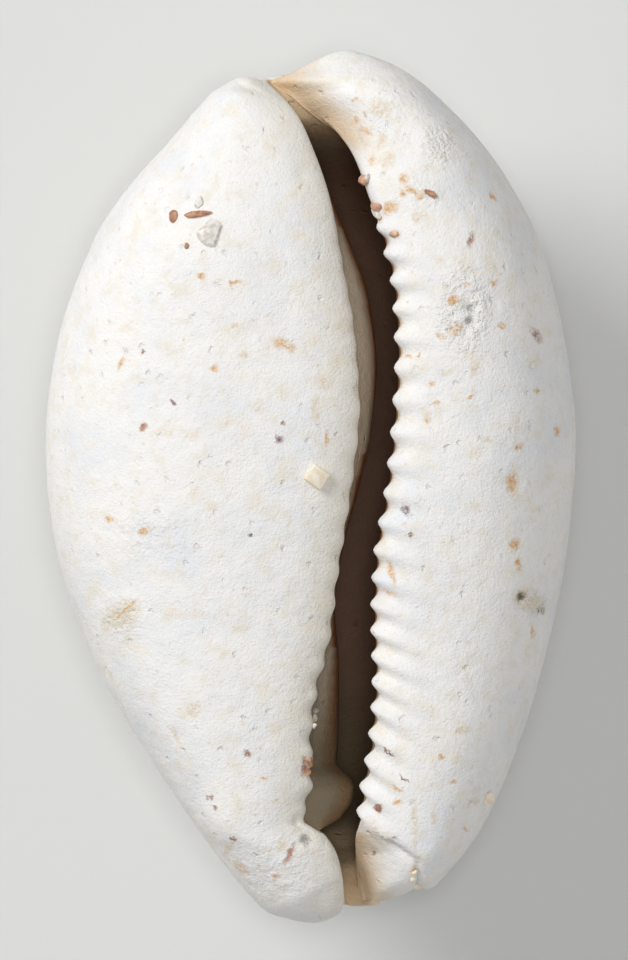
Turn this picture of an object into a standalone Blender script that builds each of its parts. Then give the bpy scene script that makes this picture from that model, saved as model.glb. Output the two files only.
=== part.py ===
"""A cowrie shell lying on its back, with its toothed slit facing up.

The shell is one coiled wall. It is built as a row of closed sections across the length: each starts at
the outer lip's edge, runs round the outside of the shell to the inner lip's edge, goes down into the
slit, curls round the inner whorl and comes back along the inside of the shell to the outer lip.
Lengths are in millimetres up to the last step, which writes them in metres. +Y is the rear (spire) end,
+X the side of the outer lip, and +Z up, out of the slit. The floor is at Z 0.
"""

import math

import bmesh
import bpy
import numpy as np

MM = 0.001

# Teeth of the outer lip: their number, some of their places along the slit (number, slit Y), a tooth's
# height over its groove, how pointed it is and how far its ridge runs down into the slit.
TOOTH_COUNT = 22
TOOTH_PLACES = [(-1, 19.6), (0, 17.85), (4, 10.35), (8, 1.75), (12, -6.1), (17, -15.0), (21, -22.1),
                (22, -23.7)]
TOOTH_HEIGHT = 0.62
TOOTH_SHARPNESS = 1.08
TOOTH_REACH_IN = 1.5
# Along Y: how far each ridge runs onto the base, and how steeply it slants forwards there.
RIDGE_REACH = [(-24.0, 2.6), (-12.0, 2.7), (-3.0, 2.2), (6.0, 1.9), (20.0, 1.4)]
RIDGE_SLANT = [(-24.0, 0.62), (-14.0, 0.45), (-5.0, 0.25), (6.0, 0.1), (20.0, 0.0)]
SLANTED_RUN = 6
# The inner lip's knobs, in line with the teeth: height over their grooves along Y, and reach.
KNOB_HEIGHT = [(-22.0, 0.3), (-14.0, 0.26), (-5.0, 0.16), (6.0, 0.1), (18.0, 0.04)]
KNOB_REACH = 0.9
STEPS_PER_TOOTH = 4
# Tooth numbers over which the row grows in at the rear and dies out at the front.
ROW_GROWS = (-0.9, 0.3)
ROW_DIES = (0.3, 0.9)

# Steps along each stretch of a section. The outside and the inside have the same number.
LIP_STEPS = 4
BASE_STEPS = 6
BACK_STEPS = 8
WHORL_STEPS = 9
WHORL_BACK_STEPS = 5
CEILING_STEPS = 3
FLOOR_STEPS = 6
WALL_STEPS = 4

BASE_ROUNDNESS = 2.35
BACK_ROUNDNESS = 2.1
INSIDE_ROUNDNESS = 2.15
WIDEST_CROWN = 0.6  # share of the way from a lip's edge to the shell's side
WHORL_WALL = 1.2
THINNEST_WALL = 0.06  # share of it that is left where the coil's size comes to nothing
FACE_POINTS = 71
TIP_RUN = 3  # points of the face that its round free end takes up
SHARP_ANGLE = 50  # degrees
TRIANGLE_SHARE = 0.68
# Slit Y of the sections in front of and behind the row of teeth, closer together towards the rims.
SECTIONS_FRONT = [-28.35, -28.3, -28.2, -28.02, -27.75, -27.35, -26.85, -26.25, -25.6, -24.9, -24.2,
                  -23.55]
SECTIONS_REAR = [20.0, 21.3, 22.5, 23.6, 24.6, 25.5, 26.2, 26.7, 27.05, 27.35, 27.55, 27.7, 27.8, 27.87,
                 27.93]
# Slit Y from the end rims inwards over which points go from evenly spaced to their own places.
FRONT_RIM = (-28.35, -26.5)
REAR_RIM = (27.93, 26.6)

# Outline sections: slit Y, then the points of the left side, the right side and the back's lowest line.
OUTLINE = [
    (-28.35, (2.1, -28.6, 22.0), (4.7, -28.45, 21.2), (3.3, -28.6, 19.6)),
    (-28.15, (1.8, -29.4, 21.2), (5.9, -28.15, 20.7), (3.1, -28.5, 18.2)),
    (-27.6, (0.0, -30.05, 20.3), (7.2, -27.6, 20.1), (2.8, -28.2, 16.6)),
    (-26.7, (-2.7, -29.35, 19.4), (8.8, -26.95, 19.5), (2.4, -27.5, 14.6)),
    (-25.0, (-5.2, -27.0, 18.4), (10.8, -24.9, 18.7), (2.0, -25.8, 11.5)),
    (-22.3, (-8.2, -23.0, 17.6), (12.6, -21.9, 18.0), (1.6, -22.8, 8.0)),
    (-18.0, (-11.5, -17.9, 17.2), (14.2, -17.9, 17.6), (1.1, -18.2, 4.4)),
    (-12.5, (-14.6, -12.5, 17.0), (15.95, -12.5, 17.4), (0.7, -12.6, 1.7)),
    (-5.0, (-17.4, -5.0, 17.0), (17.55, -5.0, 17.2), (0.3, -5.0, 0.0)),
    (3.0, (-18.3, 3.0, 17.0), (18.25, 3.0, 17.0), (0.0, 3.0, -0.4)),
    (10.0, (-17.5, 10.2, 17.0), (17.5, 10.2, 17.0), (0.0, 10.0, 0.1)),
    (16.5, (-15.3, 16.6, 17.0), (15.9, 16.6, 17.0), (0.0, 17.2, 2.1)),
    (20.5, (-12.8, 20.6, 17.2), (14.0, 20.6, 17.1), (-0.2, 22.0, 4.7)),
    (23.6, (-10.0, 23.7, 17.6), (11.8, 23.8, 17.5), (-0.4, 25.3, 8.0)),
    (25.7, (-7.9, 26.2, 18.2), (9.3, 26.5, 18.2), (-0.7, 27.2, 11.3)),
    (26.9, (-6.5, 27.6, 19.0), (6.7, 28.6, 19.0), (-1.0, 28.2, 14.4)),
    (27.5, (-5.5, 28.15, 19.8), (4.2, 29.8, 19.8), (-1.4, 28.5, 16.9)),
    (27.8, (-4.5, 28.35, 20.6), (1.9, 30.1, 20.6), (-1.9, 28.35, 18.6)),
    (27.93, (-3.4, 27.95, 21.4), (-1.8, 28.4, 20.9), (-2.7, 27.9, 19.7)),
]

# Slit edges along Y. The outer lip's line runs halfway between tooth tips and grooves.
INNER_LIP_X = [
    (-28.35, 2.3), (-27.1, 2.2), (-25.5, 1.9), (-23.8, 1.0), (-22.9, -0.4), (-22.2, -0.5), (-20.5, 0.0),
    (-17.2, 0.0), (-13.9, 0.35), (-10.6, 1.2), (-5.7, 1.85), (-0.7, 2.65), (5.5, 3.3), (10.9, 2.95),
    (15.2, 2.2), (19.9, 1.3), (23.4, 0.1), (25.4, -0.8), (26.6, -1.7), (27.93, -3.0),
]
OUTER_LIP_X = [
    (-28.35, 3.8), (-27.0, 3.45), (-25.6, 3.1), (-24.2, 3.05), (-23.0, 3.3), (-20.5, 3.6), (-17.0, 4.2),
    (-13.0, 4.45), (-9.0, 4.35), (-5.0, 4.5), (0.0, 5.3), (4.3, 5.75), (9.0, 6.0), (13.4, 5.8),
    (16.7, 5.1), (20.0, 4.0), (22.9, 2.9), (24.6, 1.7), (25.6, 0.6), (26.4, -0.4), (27.2, -1.3),
    (27.93, -2.4),
]

# Heights of the two lips' edges and of their crowns, and how far each crown lies from its edge.
INNER_LIP_Z = [
    (-28.35, 23.2), (-27.6, 24.0), (-26.0, 24.6), (-22.0, 25.1), (-10.0, 25.9), (5.0, 26.6),
    (15.0, 26.4), (22.0, 25.6), (26.0, 24.6), (27.4, 23.4), (27.93, 21.9),
]
INNER_CROWN_Z = [
    (-28.35, 23.5), (-27.0, 24.9), (-24.0, 26.1), (-20.0, 26.8), (-10.0, 27.6), (5.0, 28.4),
    (15.0, 28.2), (22.0, 26.9), (25.5, 25.6), (27.0, 24.4), (27.6, 23.3), (27.93, 22.1),
]
INNER_CROWN_WIDTH = [
    (-28.35, 0.3), (-26.5, 1.9), (-22.0, 4.6), (-10.0, 6.2), (5.0, 7.0), (15.0, 6.4), (24.0, 3.8),
    (26.6, 2.4), (27.5, 1.4), (27.93, 0.4),
]
OUTER_LIP_Z = [
    (-28.35, 20.6), (-27.0, 20.9), (-25.6, 21.4), (-24.3, 22.9), (-23.0, 24.6), (-10.0, 25.9),
    (5.0, 26.6), (15.0, 26.5), (20.0, 25.6), (22.8, 24.4), (24.6, 22.6), (25.6, 21.6), (26.6, 21.3),
    (27.4, 21.1), (27.93, 21.0),
]
OUTER_CROWN_Z = [
    (-28.35, 21.4), (-27.6, 23.4), (-26.5, 24.9), (-25.0, 25.9), (-23.0, 26.4), (-10.0, 27.3),
    (5.0, 28.0), (15.0, 27.9), (20.0, 27.3), (23.0, 26.6), (25.0, 25.8), (26.3, 25.0), (27.3, 23.4),
    (27.93, 21.2),
]
OUTER_CROWN_WIDTH = [
    (-28.35, 0.6), (-27.2, 3.8), (-25.3, 4.6), (-22.5, 3.6), (-10.0, 3.2), (15.0, 3.2), (20.0, 3.5),
    (23.5, 4.6), (26.5, 5.2), (27.93, 0.6),
]

# How far the outer lip is an easy slope, as in the canals, instead of a full round lip.
CANAL_SLOPE = [
    (-26.5, 0.85), (-25.0, 0.6), (-23.2, 0.0), (21.0, 0.0), (24.5, 0.7), (26.0, 0.95),
]

# How far the foot of the outer lip's wall lies behind its edge, and below it.
LIP_UNDERCUT = [
    (-27.0, -0.25), (-25.4, 0.0), (-23.2, 1.6), (22.0, 1.6), (24.6, 0.0), (26.0, -0.3), (27.2, -0.15),
    (27.93, 0.0),
]
OUTER_WALL_DEPTH = 5.3
LIP_SWELL = 0.35
FOOT_GAP = 0.05

# Inside of the shell along Y: its left and right sides, their level, and the lowest line.
INSIDE_LEFT_X = [
    (-28.35, 2.4), (-27.2, 1.9), (-26.0, 1.3), (-24.0, -1.2), (-21.0, -5.2), (-15.0, -10.3),
    (-8.0, -13.4), (3.0, -15.4), (10.0, -14.6), (16.0, -12.2), (21.0, -8.2), (23.6, -4.2), (25.2, -1.6),
    (26.5, -1.9), (27.93, -2.95),
]
INSIDE_RIGHT_X = [
    (-28.35, 3.7), (-27.0, 3.4), (-26.0, 3.1), (-25.0, 3.3), (-24.2, 4.8), (-23.0, 8.0), (-21.0, 10.4),
    (-15.0, 12.4), (-8.0, 13.9), (3.0, 15.2), (10.0, 14.5), (16.0, 12.6), (21.0, 9.2), (22.8, 6.2),
    (23.8, 3.2), (24.6, 1.7), (25.6, 0.3), (26.4, -0.7), (27.2, -1.5), (27.93, -2.5),
]
INSIDE_SIDE_Z = [
    (-28.35, 20.5), (-27.0, 20.4), (-26.0, 20.0), (-24.5, 18.6), (-22.0, 17.8), (-10.0, 16.2),
    (10.0, 16.2), (20.0, 17.2), (24.0, 19.3), (25.4, 20.9), (26.6, 21.1), (27.93, 20.8),
]
INSIDE_FLOOR_X = [
    (-28.35, 3.0), (-26.0, 2.2), (-24.0, 2.9), (-15.0, 1.5), (5.0, 0.0), (20.0, 0.2), (24.0, 0.6),
    (26.4, -1.2), (27.93, -2.72),
]
INSIDE_FLOOR_Z = [
    (-28.35, 20.3), (-27.2, 19.9), (-26.2, 19.2), (-24.5, 15.6), (-22.0, 11.8), (-18.0, 7.6),
    (-12.5, 4.4), (-5.0, 2.6), (3.0, 2.2), (10.0, 2.6), (16.5, 5.0), (20.5, 8.6), (22.6, 12.4),
    (23.8, 16.6), (24.7, 19.4), (25.5, 20.6), (26.5, 20.85), (27.93, 20.5),
]

# Where the inner whorl's back meets the ceiling: below the inner lip's edge, and to its left by at
# least so much, with more for a bigger coil.
CEILING_DROP = 4.6
CEILING_IN = 0.64
CEILING_IN_PER_SIZE = 0.96
CEILING_GAP = 0.2

# Inner whorl along Y: how far it bulges into the slit, the level of its shoulder there, the coil's size,
# and how much of its turn is there. Past its ends it melts into the wall of the canal.
WHORL_X = [
    (-25.0, 1.2), (-23.5, 1.4), (-22.6, 2.0), (-21.6, 2.7), (-20.7, 2.9), (-20.0, 2.7), (-19.4, 2.1),
    (-18.8, 1.75), (-17.0, 1.85), (-12.0, 1.9), (-8.0, 1.6), (-4.0, 2.2), (0.0, 3.3), (4.0, 4.15),
    (8.4, 4.5), (13.3, 3.9), (17.5, 2.4), (21.0, 0.9), (24.0, -0.6), (26.0, -1.6),
]
WHORL_Z = [
    (-25.0, 22.2), (-21.0, 22.5), (-19.9, 21.9), (-18.7, 20.4), (-10.0, 20.9), (-2.0, 22.1),
    (10.0, 22.4), (18.0, 22.0), (26.0, 22.2),
]
WHORL_SIZE = [
    (-24.2, 0.3), (-21.8, 0.36), (-15.0, 0.75), (-6.0, 1.0), (10.0, 1.0), (17.0, 0.72), (20.5, 0.5),
    (24.0, 0.34),
]
WHORL_REACH = [
    (-24.0, 0.5), (-21.5, 0.56), (-16.5, 1.0), (15.0, 1.0), (20.0, 0.6), (23.5, 0.46),
]
WHORL_ENDS = ((-24.6, -22.7), (25.2, 21.8))


def smooth_through(keys, at):
    """Values at the places `at` of the smooth curve through (place, value) keys; it doesn't overshoot."""
    places, values = np.array(keys, float).T
    gaps = np.diff(places)
    slopes = np.diff(values) / gaps
    tangents = np.concatenate([slopes[:1], slopes])
    before, after = slopes[:-1], slopes[1:]
    rises = before * after > 0
    near, far = 2 * gaps[1:] + gaps[:-1], gaps[1:] + 2 * gaps[:-1]
    mean = (near + far) / (near / np.where(rises, before, 1) + far / np.where(rises, after, 1))
    tangents[1:-1] = np.where(rises, mean, 0)
    at = np.clip(at, places[0], places[-1])
    index = np.clip(np.searchsorted(places, at, side="right") - 1, 0, len(places) - 2)
    gap = gaps[index]
    share = (at - places[index]) / gap
    return (
        values[index] * (1 + 2 * share) * (1 - share) ** 2
        + values[index + 1] * share**2 * (3 - 2 * share)
        + tangents[index] * gap * share * (1 - share) ** 2
        - tangents[index + 1] * gap * share**2 * (1 - share)
    )


def round_curve(points, places):
    """A rounder curve through the points, which may overshoot a little: for outlines in plan."""
    points = np.array(points, float)
    tangents = np.gradient(points, axis=0)
    places = np.clip(places, 0, len(points) - 1 - 1e-9)
    index = places.astype(int)
    share = (places - index)[:, None]
    return (
        points[index] * (1 + 2 * share) * (1 - share) ** 2
        + points[index + 1] * share**2 * (3 - 2 * share)
        + tangents[index] * share * (1 - share) ** 2
        - tangents[index + 1] * share**2 * (1 - share)
    )


def smooth_step(low, high, value):
    share = np.clip((value - low) / (high - low), 0, 1)
    return share * share * (3 - 2 * share)


def quarter(start, end, steps, roundness, start_is_top):
    """A quarter of a super-ellipse between two points, without the last one.

    At the point that is the top or the bottom it runs level, and at the other it stands upright.
    """
    power = 2 / roundness
    points = []
    for step in range(steps):
        angle = math.pi / 2 * step / steps
        across, up = math.sin(angle) ** power, math.cos(angle) ** power
        if not start_is_top:
            across, up = 1 - up, 1 - across
        plan = start[:2] + (end[:2] - start[:2]) * across
        points.append((plan[0], plan[1], end[2] + (start[2] - end[2]) * up))
    return points


def back_quarter(start, end, steps, start_is_top):
    """A quarter round the back: it also meets the back's lowest line square, so no crease runs there."""
    points = quarter(start, end, steps, BACK_ROUNDNESS, start_is_top)
    turns = [math.sin(math.pi / 2 * step / steps) ** 2 for step in range(steps)]
    return [(x, start[1] + (end[1] - start[1]) * turn, z) for (x, _, z), turn in zip(points, turns)]


def even_steps(path, steps):
    """The same path with evenly spaced points, its ends kept."""
    path = np.array(path)
    run = np.concatenate([[0], np.cumsum(np.linalg.norm(np.diff(path, axis=0), axis=1))])
    places = np.linspace(0, run[-1], steps + 1)
    return np.stack([np.interp(places, run, path[:, axis]) for axis in range(3)], axis=1)


def tooth_centres(number):
    """Slit Y of tooth `number`, counted from the rear: wide in the middle, closer at the front."""
    return smooth_through(TOOTH_PLACES, number)


def tooth_wave(y):
    """1 on a tooth and 0 in a groove, fading out past the first and the last tooth."""
    numbers = np.linspace(-1, TOOTH_COUNT, 12 * TOOTH_COUNT)
    number = np.interp(-y, -tooth_centres(numbers), numbers)
    wave = (0.5 + 0.5 * np.cos(2 * math.pi * number)) ** TOOTH_SHARPNESS
    fade = smooth_step(*ROW_GROWS, number) * smooth_step(
        TOOTH_COUNT - ROW_DIES[0], TOOTH_COUNT - ROW_DIES[1], number)
    return wave * fade, fade


def lip_rise(edge, crown, y):
    """From the outer lip's edge to its crown: a round lip along the teeth, easier in the canals."""
    canal = smooth_through(CANAL_SLOPE, y)
    points = []
    for step, round_point in enumerate(quarter(edge, crown, LIP_STEPS, 2.0, False)):
        share = step / LIP_STEPS
        slope = edge + (crown - edge) * share
        slope[2] = edge[2] + (crown[2] - edge[2]) * math.sin(math.pi / 2 * share)
        points.append(tuple(np.array(round_point) * (1 - canal) + slope * canal))
    return points


def outside_path(y, left, right, back):
    """From the outer lip's edge over the base, round the back and up to the inner lip's edge."""
    outer_edge = np.array([smooth_through(OUTER_LIP_X, y), y, smooth_through(OUTER_LIP_Z, y)])
    inner_edge = np.array([smooth_through(INNER_LIP_X, y), y, smooth_through(INNER_LIP_Z, y)])
    crowns = []
    for edge, side, width_keys, height_keys in (
        (outer_edge, right, OUTER_CROWN_WIDTH, OUTER_CROWN_Z),
        (inner_edge, left, INNER_CROWN_WIDTH, INNER_CROWN_Z),
    ):
        reach = side[:2] - edge[:2]
        share = min(smooth_through(width_keys, y) / np.linalg.norm(reach), WIDEST_CROWN)
        crowns.append(np.append(edge[:2] + reach * share, smooth_through(height_keys, y)))
    outer_crown, inner_crown = crowns
    path = lip_rise(outer_edge, outer_crown, y)
    path += quarter(outer_crown, right, BASE_STEPS, BASE_ROUNDNESS, True)
    path += back_quarter(right, back, BACK_STEPS, False)
    path += back_quarter(back, left, BACK_STEPS, True)
    path += quarter(left, inner_crown, BASE_STEPS, BASE_ROUNDNESS, False)
    path += quarter(inner_crown, inner_edge, LIP_STEPS, 2.0, True)
    path.append(tuple(inner_edge))
    return np.array(path)


def whorl_face(y, inner_edge):
    """The inner whorl's outer face in one section: down from the inner lip, out, under and up again."""
    bulge_x, bulge_z = smooth_through(WHORL_X, y), smooth_through(WHORL_Z, y)
    size = smooth_through(WHORL_SIZE, y)
    edge_x, edge_z = inner_edge[0], inner_edge[2]
    drop = edge_z - bulge_z
    corners = [
        (edge_x, edge_z),
        (edge_x - 0.2, edge_z - 0.35 * drop),
        (edge_x - 0.05, edge_z - 0.78 * drop),
        ((edge_x + bulge_x) / 2, bulge_z),
        (bulge_x, bulge_z - 1.7 * size),
        (bulge_x - 0.6 * size, bulge_z - 5.2 * size),
        (bulge_x - 4.6 * size, bulge_z - 8.6 * size),
        (bulge_x - 9.6 * size, bulge_z - 8.2 * size),
        (bulge_x - 13.0 * size, bulge_z - 4.4 * size),
    ]
    curve = round_curve(corners, np.linspace(0, len(corners) - 1, FACE_POINTS))
    curve = np.insert(curve, 1, y, axis=1)
    run = np.cumsum(np.linalg.norm(np.diff(curve, axis=0), axis=1))
    last = FACE_POINTS - 1
    nose = int(last * run[last // 2 - 1] / run[-1])  # the middle corner, where the face turns down
    return even_steps(curve, last), nose


def whorl_hook(y, inner_edge):
    """The inner whorl's wall in one section: down its face, round its free end and back up behind it."""
    face, nose = whorl_face(y, inner_edge)
    along = np.gradient(face, axis=0)
    along /= np.linalg.norm(along, axis=1)[:, None]
    inward = np.column_stack([along[:, 2], np.zeros(len(along)), -along[:, 0]])
    wall = WHORL_WALL * min(THINNEST_WALL + smooth_through(WHORL_SIZE, y), 1)
    behind = face + inward * wall
    end = int(smooth_through(WHORL_REACH, y) * (len(face) - 1))
    before_end = end - TIP_RUN
    root = min(nose, before_end - 1)
    front = face[np.linspace(0, before_end, WHORL_STEPS).astype(int)]
    rear = behind[np.linspace(before_end, root, WHORL_BACK_STEPS).astype(int)]
    return np.vstack([front, [(face[end] + behind[end]) / 2], rear])


def inside_path(y, outer_edge, inner_edge):
    """From the inner lip's edge round the inner whorl and the inside of the shell to the outer lip."""
    side_z, floor_z = smooth_through(INSIDE_SIDE_Z, y), smooth_through(INSIDE_FLOOR_Z, y)
    left = np.array([smooth_through(INSIDE_LEFT_X, y), y, side_z])
    right = np.array([smooth_through(INSIDE_RIGHT_X, y), y, side_z])
    floor = np.array([smooth_through(INSIDE_FLOOR_X, y), y, floor_z])
    (front_out, front_in), (rear_out, rear_in) = WHORL_ENDS
    coiled = min(smooth_step(front_out, front_in, y), smooth_step(rear_out, rear_in, y))

    hook = whorl_hook(y, inner_edge)
    size = smooth_through(WHORL_SIZE, y)
    ceiling_z = min(inner_edge[2] - CEILING_DROP, smooth_through(WHORL_Z, y) + CEILING_GAP)
    hook[-1] = (inner_edge[0] - CEILING_IN - CEILING_IN_PER_SIZE * size, y, ceiling_z)
    canal_wall = np.linspace(inner_edge, left, len(hook) + 1)[:-1]
    hook = canal_wall + (hook - canal_wall) * coiled

    lip_foot = outer_edge + np.array([smooth_through(LIP_UNDERCUT, y), 0, -OUTER_WALL_DEPTH])
    lip_foot[2] = max(lip_foot[2], (right[2] + outer_edge[2]) / 2)
    lip_foot[0] = min(lip_foot[0], right[0] - FOOT_GAP)
    path = [tuple(point) for point in hook[:-1]]
    path += quarter(hook[-1], left, CEILING_STEPS, INSIDE_ROUNDNESS, True)
    path += quarter(left, floor, FLOOR_STEPS, INSIDE_ROUNDNESS, False)
    path += quarter(floor, right, FLOOR_STEPS, INSIDE_ROUNDNESS, True)
    path += quarter(right, lip_foot, CEILING_STEPS, INSIDE_ROUNDNESS, False)
    for step in range(WALL_STEPS):
        share = step / WALL_STEPS
        swell = LIP_SWELL * math.sin(math.pi * share) * coiled
        across = lip_foot[0] + (outer_edge[0] - lip_foot[0]) * math.sqrt(share) - swell
        path.append((across, y, lip_foot[2] + (outer_edge[2] - lip_foot[2]) * share))
    path.append(tuple(outer_edge))
    return np.array(path)


def add_teeth(section, y, outer_count):
    """Pushes the section out at the teeth, most at the outer lip's edge, and at the inner lip's knobs."""
    count = len(section)
    steps = np.linalg.norm(np.diff(np.vstack([section, section[:1]]), axis=0), axis=1)
    run = np.concatenate([[0], np.cumsum(steps)])[:count]
    total = steps.sum()
    ahead = np.roll(section, -1, axis=0) - np.roll(section, 1, axis=0)
    normal = np.column_stack([-ahead[:, 2], np.zeros(count), ahead[:, 0]])
    normal /= np.maximum(np.linalg.norm(normal, axis=1), 1e-9)[:, None]
    slanted = section[:, 1] + smooth_through(RIDGE_SLANT, y) * np.minimum(run, SLANTED_RUN)
    wave, fade = tooth_wave(np.where(run < total / 2, slanted, section[:, 1]))
    on_base = run / smooth_through(RIDGE_REACH, y)
    in_slit = (total - run) / TOOTH_REACH_IN
    tooth = TOOTH_HEIGHT * np.exp(-np.minimum(on_base, in_slit) ** 2)
    from_knob = (run - run[outer_count]) / KNOB_REACH
    knob = smooth_through(KNOB_HEIGHT, y) * np.exp(-(from_knob**2))
    return section + normal * ((tooth + knob) * (wave - 0.5 * fade))[:, None]


def slit_stations():
    """Slit Y of every section, front to rear, with four to each tooth."""
    numbers = np.arange(-0.5, TOOTH_COUNT - 0.5 + 1e-6, 1 / STEPS_PER_TOOTH)
    toothed = tooth_centres(numbers)[::-1]
    return np.concatenate([SECTIONS_FRONT, toothed, SECTIONS_REAR])


def shell_sections():
    """Every section as a closed row of points, in millimetres."""
    slit_y = [key[0] for key in OUTLINE]
    sides = [[key[column] for key in OUTLINE] for column in (1, 2, 3)]
    keys = np.arange(len(slit_y))
    sections = []
    for y in slit_stations():
        place = np.atleast_1d(smooth_through(list(zip(slit_y, keys)), y))
        left, right, back = (round_curve(side, place)[0] for side in sides)
        outside = outside_path(y, left, right, back)
        inside = inside_path(y, outside[0], outside[-1])
        steps = len(outside) - 1
        ends = 1 - min(smooth_step(*FRONT_RIM, y), smooth_step(*REAR_RIM, y))
        outside += (even_steps(outside, steps) - outside) * ends
        inside += (even_steps(inside, steps) - inside) * ends
        section = add_teeth(np.vstack([outside[:-1], inside[:-1]]), y, steps)
        section[:, 2] = np.maximum(section[:, 2], 0)
        sections.append(section)
    return sections


def add_mesh(name, sections):
    """Skins the sections and closes the two canal rims with a strip between outside and inside."""
    mesh = bpy.data.meshes.new(name)
    obj = bpy.data.objects.new(name, mesh)
    bpy.context.scene.collection.objects.link(obj)
    bm = bmesh.new()
    rows = [[bm.verts.new(point * MM) for point in section] for section in sections]
    count = len(rows[0])
    for near, far in zip(rows, rows[1:]):
        for i in range(count):
            j = (i + 1) % count
            bm.faces.new((near[i], near[j], far[j], far[i]))
    for row in (rows[0], rows[-1]):
        for i in range(count // 2):
            corners = [row[i], row[i + 1], row[count - i - 1], row[-i]]
            bm.faces.new(list(dict.fromkeys(corners)))
    bmesh.ops.recalc_face_normals(bm, faces=bm.faces)
    bm.to_mesh(mesh)
    bm.free()
    return obj


def add_material(obj, name, colour, roughness):
    material = bpy.data.materials.new(name)
    material.use_nodes = True
    shader = material.node_tree.nodes["Principled BSDF"]
    shader.inputs["Base Color"].default_value = (*colour, 1)
    shader.inputs["Roughness"].default_value = roughness
    shader.inputs["Metallic"].default_value = 0
    obj.data.materials.append(material)


for leftover in list(bpy.data.objects):
    bpy.data.objects.remove(leftover)

shell = add_mesh("shell", shell_sections())
thin_out = shell.modifiers.new("thin out", "DECIMATE")
thin_out.ratio = TRIANGLE_SHARE
shell.data.shade_smooth()
shell.data.set_sharp_from_angle(angle=math.radians(SHARP_ANGLE))
add_material(shell, "chalky aragonite", (0.83, 0.80, 0.76), 0.75)
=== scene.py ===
import math

import bpy
import numpy as np
from mathutils import Matrix, Vector, noise


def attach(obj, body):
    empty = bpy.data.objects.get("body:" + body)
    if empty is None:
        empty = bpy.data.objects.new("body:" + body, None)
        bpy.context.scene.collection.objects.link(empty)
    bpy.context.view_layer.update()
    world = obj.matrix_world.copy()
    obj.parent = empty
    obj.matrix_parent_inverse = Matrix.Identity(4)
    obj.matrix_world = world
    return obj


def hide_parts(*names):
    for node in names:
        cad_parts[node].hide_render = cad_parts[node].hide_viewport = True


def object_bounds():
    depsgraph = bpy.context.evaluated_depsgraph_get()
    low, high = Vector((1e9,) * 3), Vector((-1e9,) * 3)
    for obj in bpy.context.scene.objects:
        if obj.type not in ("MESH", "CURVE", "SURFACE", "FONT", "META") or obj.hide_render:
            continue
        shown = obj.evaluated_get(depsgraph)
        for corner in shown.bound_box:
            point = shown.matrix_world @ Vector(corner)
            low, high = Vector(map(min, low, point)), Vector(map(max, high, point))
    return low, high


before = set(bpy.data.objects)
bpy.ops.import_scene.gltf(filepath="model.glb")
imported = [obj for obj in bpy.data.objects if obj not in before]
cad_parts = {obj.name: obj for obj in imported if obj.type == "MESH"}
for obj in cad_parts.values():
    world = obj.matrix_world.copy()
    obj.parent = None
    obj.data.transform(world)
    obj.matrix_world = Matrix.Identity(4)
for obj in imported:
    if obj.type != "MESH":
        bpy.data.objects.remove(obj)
cadBounds = [list(corner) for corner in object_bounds()]
low, high = (Vector(corner) for corner in cadBounds)
middle = (low + high) / 2
mm = 0.001
print("frame loaded,", len(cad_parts), "node")


# camera: straight down on the slit, rear end of the shell at the top
view = {
    "lens": 600,  # a long lens, so that the near lips aren't enlarged
    "sensor": 36,
    "tall": 66.05,  # mm of the object that the frame's height takes in
    "level": 22,  # mm above the floor where that holds, between margin and lips
    "aside": (0.23, 0.49),  # mm, from the middle of the object
}
cameraData = bpy.data.cameras.new("camera")
cameraData.lens = view["lens"]
cameraData.sensor_width = view["sensor"]
camera = bpy.data.objects.new("camera", cameraData)
bpy.context.scene.collection.objects.link(camera)
away = view["tall"] * view["lens"] / view["sensor"]
camera.location = (
    middle.x + view["aside"][0] * mm, middle.y + view["aside"][1] * mm, (view["level"] + away) * mm)
bpy.context.scene.camera = camera


# curves shared by the shell's parts; lengths here are in millimetres
def throughKeys(keys, at):
    # smooth value at each place, through (place, value) keys, without overshoot
    places, values = np.array(keys, float).T
    gaps = np.diff(places)
    slopes = np.diff(values) / gaps
    tangents = np.concatenate([slopes[:1], slopes])
    before, after = slopes[:-1], slopes[1:]
    rises = before * after > 0
    near, far = 2 * gaps[1:] + gaps[:-1], gaps[1:] + 2 * gaps[:-1]
    mean = (near + far) / (near / np.where(rises, before, 1) + far / np.where(rises, after, 1))
    tangents[1:-1] = np.where(rises, mean, 0)
    at = np.clip(at, places[0], places[-1])
    index = np.clip(np.searchsorted(places, at, side="right") - 1, 0, len(places) - 2)
    gap = gaps[index]
    share = (at - places[index]) / gap
    return (values[index] * (1 + 2 * share) * (1 - share) ** 2
            + values[index + 1] * share ** 2 * (3 - 2 * share)
            + tangents[index] * gap * share * (1 - share) ** 2
            - tangents[index + 1] * gap * share ** 2 * (1 - share))


def roundCurve(points, places):
    # a rounder curve through points, for outlines seen from above
    points = np.array(points, float)
    tangents = np.gradient(points, axis=0)
    places = np.clip(places, 0, len(points) - 1 - 1e-9)
    index = places.astype(int)
    share = (places - index)[:, None]
    return (points[index] * (1 + 2 * share) * (1 - share) ** 2
            + points[index + 1] * share ** 2 * (3 - 2 * share)
            + tangents[index] * share * (1 - share) ** 2
            - tangents[index + 1] * share ** 2 * (1 - share))


def smoothStep(start, stop, value):
    share = np.clip((value - start) / (stop - start), 0, 1)
    return share * share * (3 - 2 * share)


def quarter(start, end, steps, roundness, startIsTop):
    # a quarter of a super-ellipse, level at its top or bottom and upright at its side
    angle = np.linspace(0, math.pi / 2, steps + 1)[:-1]
    power = 2 / roundness
    across, up = np.sin(angle) ** power, np.cos(angle) ** power
    if not startIsTop:
        across, up = 1 - up, 1 - across
    plan = start[:2] + (end[:2] - start[:2]) * across[:, None]
    return np.column_stack([plan, end[2] + (start[2] - end[2]) * up])


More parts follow.
